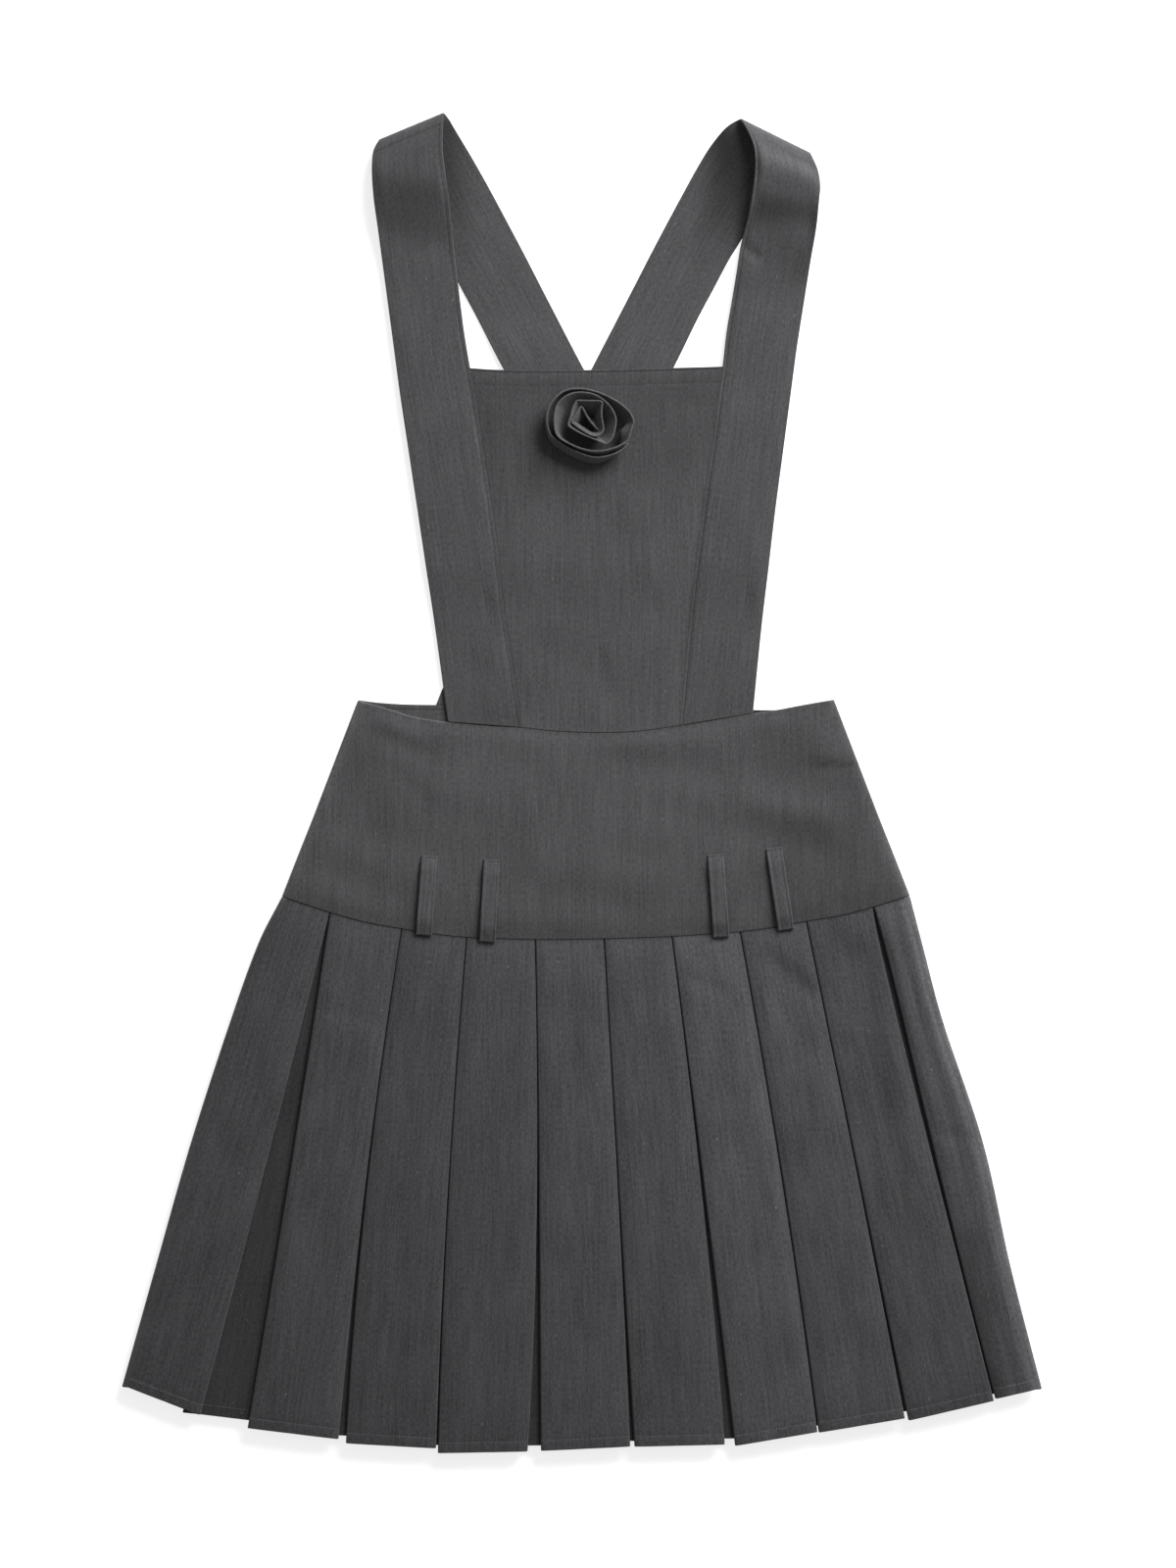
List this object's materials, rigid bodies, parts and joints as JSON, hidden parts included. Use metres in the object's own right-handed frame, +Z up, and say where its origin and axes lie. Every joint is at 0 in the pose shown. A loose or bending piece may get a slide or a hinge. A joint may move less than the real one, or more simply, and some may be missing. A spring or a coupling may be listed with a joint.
{
  "type": "pinafore dress",
  "caption": "Sleeveless dress laid flat: bib with crossing shoulder straps, hip yoke with belt loops, box-pleated skirt and a rolled fabric rose",
  "frame": {"origin": "centre of the bounding box's footprint, on the surface that the dress lies on", "axes": "+Y from the hem to the shoulders, +X to the right of the dress as it is seen from above, +Z up out of its front"},
  "size_m": [0.625, 0.9109, 0.018],
  "materials": {
    "bib_cloth": "matte",
    "strap_cloth": "matte",
    "back_strap_cloth": "matte",
    "yoke_cloth": "matte",
    "skirt_cloth": "matte",
    "loop_cloth": "matte",
    "rose_cloth": "matte"
  },
  "bodies": {
    "root": {"bib_centre": "bib_cloth", "strap_front_left": "strap_cloth", "strap_front_right": "strap_cloth", "strap_back_left": "back_strap_cloth", "strap_back_right": "back_strap_cloth", "yoke_front": "yoke_cloth", "yoke_back": "yoke_cloth", "skirt_front": "skirt_cloth", "skirt_back": "skirt_cloth", "belt_loop_1": "loop_cloth", "belt_loop_2": "loop_cloth", "belt_loop_3": "loop_cloth", "belt_loop_4": "loop_cloth", "rose": "rose_cloth"}
  },
  "joints": []
}
